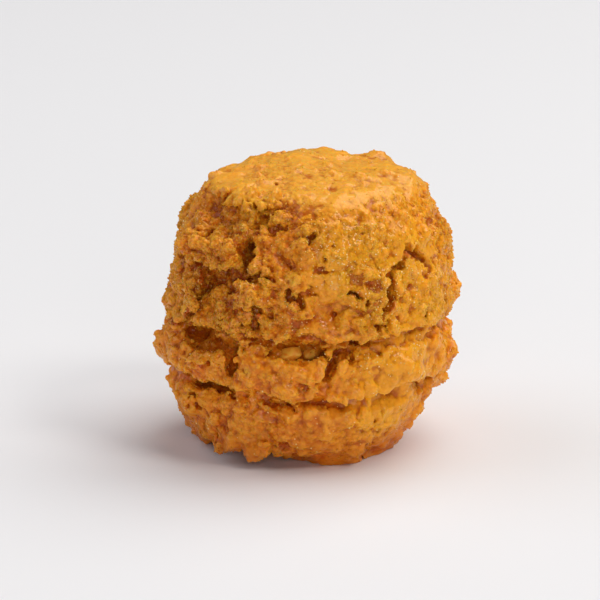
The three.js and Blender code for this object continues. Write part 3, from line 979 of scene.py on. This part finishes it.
class Look:
    """A material of nodes round one shader, with short names for the nodes used here."""

    def __init__(self, name):
        self.material = bpy.data.materials.new(name)
        self.material.use_nodes = True
        self.nodes = self.material.node_tree.nodes
        self.links = self.material.node_tree.links
        self.shader = self.nodes["Principled BSDF"]

    def attribute(self, name):
        node = self.nodes.new("ShaderNodeAttribute")
        node.attribute_name = name
        return node.outputs["Fac"]

    def noise(self, size):
        """Noise from 0 to 1 with features of a size in millimetres."""
        place = self.nodes.new("ShaderNodeTexCoord")
        node = self.nodes.new("ShaderNodeTexNoise")
        node.inputs["Scale"].default_value = 1 / (size * MM)
        node.inputs["Detail"].default_value = NOISE_DETAIL
        self.links.new(place.outputs["Object"], node.inputs["Vector"])
        return node.outputs["Fac"]

    def grains(self, size):
        """Fused grains of a size in millimetres: 0 in the middle of each and about 1 between them."""
        place = self.nodes.new("ShaderNodeTexCoord")
        node = self.nodes.new("ShaderNodeTexVoronoi")
        node.inputs["Scale"].default_value = 1 / (size * MM)
        self.links.new(place.outputs["Object"], node.inputs["Vector"])
        return node.outputs["Distance"]

    def times(self, a, b):
        node = self.nodes.new("ShaderNodeMath")
        node.operation = "MULTIPLY"
        self.links.new(a, node.inputs[0])
        self.links.new(b, node.inputs[1])
        return node.outputs["Value"]

    def ranged(self, value, low, high, to_low=0.0, to_high=1.0):
        node = self.nodes.new("ShaderNodeMapRange")
        self.links.new(value, node.inputs["Value"])
        limits = {"From Min": low, "From Max": high, "To Min": to_low, "To Max": to_high}
        for socket, number in limits.items():
            node.inputs[socket].default_value = number
        return node.outputs["Result"]

    def mixed(self, share, a, b):
        node = self.nodes.new("ShaderNodeMix")
        node.data_type = "RGBA"
        self.links.new(share, node.inputs["Factor"])
        for value, name in ((a, "A"), (b, "B")):
            # The colour socket is picked by its type, because every type has sockets of these names.
            socket = [s for s in node.inputs if s.name == name and s.type == "RGBA"][0]
            if isinstance(value, list):
                socket.default_value = value
            else:
                self.links.new(value, socket)
        return [s for s in node.outputs if s.type == "RGBA"][0]

    def bump(self, height, depth):
        """Bumps of a depth in millimetres."""
        node = self.nodes.new("ShaderNodeBump")
        node.inputs["Strength"].default_value = 1.0
        node.inputs["Distance"].default_value = depth * MM
        self.links.new(height, node.inputs["Height"])
        self.links.new(node.outputs["Normal"], self.shader.inputs["Normal"])

    def link(self, value, name):
        self.links.new(value, self.shader.inputs[name])

    def set(self, values):
        for name, value in values.items():
            self.shader.inputs[name].default_value = value


def dough_material():
    """Baked almond dough: golden and deeper in patches, with painted shade browning its hollows and
    darkening its cracks, and painted highlight on crests, the pressed top and the lit side.
    """
    look = Look("dough")
    values = {name: look.noise(size) for name, size in DOUGH_NOISE.items()}
    values["grain"] = look.grains(GRAIN_SIZE)
    rough = look.attribute("rough")
    colour = linear(DOUGH)
    for name, start, full, most, over in DOUGH_LAYERS:
        if name not in values:
            values[name] = look.attribute(name)
        share = look.ranged(values[name], start, full, 0, most)
        if name == "grain":
            share = look.times(share, rough)
        colour = look.mixed(share, colour, linear(over))
    look.link(colour, "Base Color")
    look.link(look.ranged(values["shine"], *DOUGH_ROUGHNESS), "Roughness")
    look.bump(look.times(look.ranged(values["grain"], 0, 1, 1, 0), rough), GRAIN_HEIGHT)
    look.set(DOUGH_SHADER)
    return look.material


def almond_material():
    """Chopped almond: pale yellow with faint darker streaks."""
    look = Look("almond")
    streaks = look.ranged(look.noise(ALMOND_STREAKS), *ALMOND_STREAK_RANGE)
    look.link(look.mixed(streaks, linear(ALMOND), linear(DOUGH)), "Base Color")
    look.link(look.ranged(look.noise(ALMOND_SHINE), *ALMOND_ROUGHNESS), "Roughness")
    look.bump(look.noise(ALMOND_BUMPS), ALMOND_BUMP_HEIGHT)
    look.set(ALMOND_SHADER)
    return look.material


def sugar_material():
    """Sugar, half melted into the dough and glossy; its near-white colour also paints glints."""
    look = Look("sugar")
    patches = look.ranged(look.noise(SUGAR_PATCH), *SUGAR_PATCH_RANGE)
    look.link(look.mixed(patches, linear(SUGAR_AND_GLINT_WHITE), linear(PALE)), "Base Color")
    look.set(SUGAR_SHADER)
    return look.material


def floor():
    bpy.ops.mesh.primitive_plane_add(size=FLOOR_SIZE)
    plane = bpy.context.object
    plane.name = "floor"
    look = Look("floor")
    look.set({"Base Color": linear(FLOOR), "Roughness": FLOOR_ROUGHNESS})
    plane.data.materials.append(look.material)


def point_at(ob, target):
    ob.rotation_euler = (Vector(target) - ob.location).to_track_quat("-Z", "Y").to_euler()


def lamp(name, azimuth, elevation, size, power, colour):
    """A square area light that faces the macaron."""
    data = bpy.data.lights.new(name, "AREA")
    data.size = size
    data.energy = power
    data.color = colour
    ob = bpy.data.objects.new(name, data)
    a, e = math.radians(azimuth), math.radians(elevation)
    ob.location = (math.sin(a) * math.cos(e), -math.cos(a) * math.cos(e), math.sin(e))
    bpy.context.collection.objects.link(ob)
    point_at(ob, [c * MM for c in AIM])


def lighting():
    for name, place in LAMPS.items():
        lamp(name, **place)
    world = bpy.data.worlds.new("studio")
    bpy.context.scene.world = world
    world.use_nodes = True
    background = world.node_tree.nodes["Background"]
    background.inputs["Color"].default_value = (1.0, 1.0, 1.0, 1.0)
    background.inputs["Strength"].default_value = WORLD


def camera():
    data = bpy.data.cameras.new("camera")
    data.sensor_width = SENSOR
    data.lens = SENSOR * DISTANCE / SEEN_WIDTH
    ob = bpy.data.objects.new("camera", data)
    bpy.context.collection.objects.link(ob)
    tilt = math.radians(ELEVATION)
    target = Vector(AIM) * MM
    ob.location = target + Vector((0, -math.cos(tilt), math.sin(tilt))) * DISTANCE * MM
    point_at(ob, target)
    bpy.context.scene.camera = ob


field = grown()
dough = dough_material()
crumb = piece("crumb", crumb_mesh(field), dough)
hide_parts(NODE)
piece("granules", granule_mesh(field, crumb.data), dough)
piece("almonds", almond_mesh(field), almond_material())
piece("sugar", sugar_mesh(field, crumb.data), sugar_material())

floor()
lighting()
camera()
bpy.context.scene.view_settings.view_transform = "Standard"
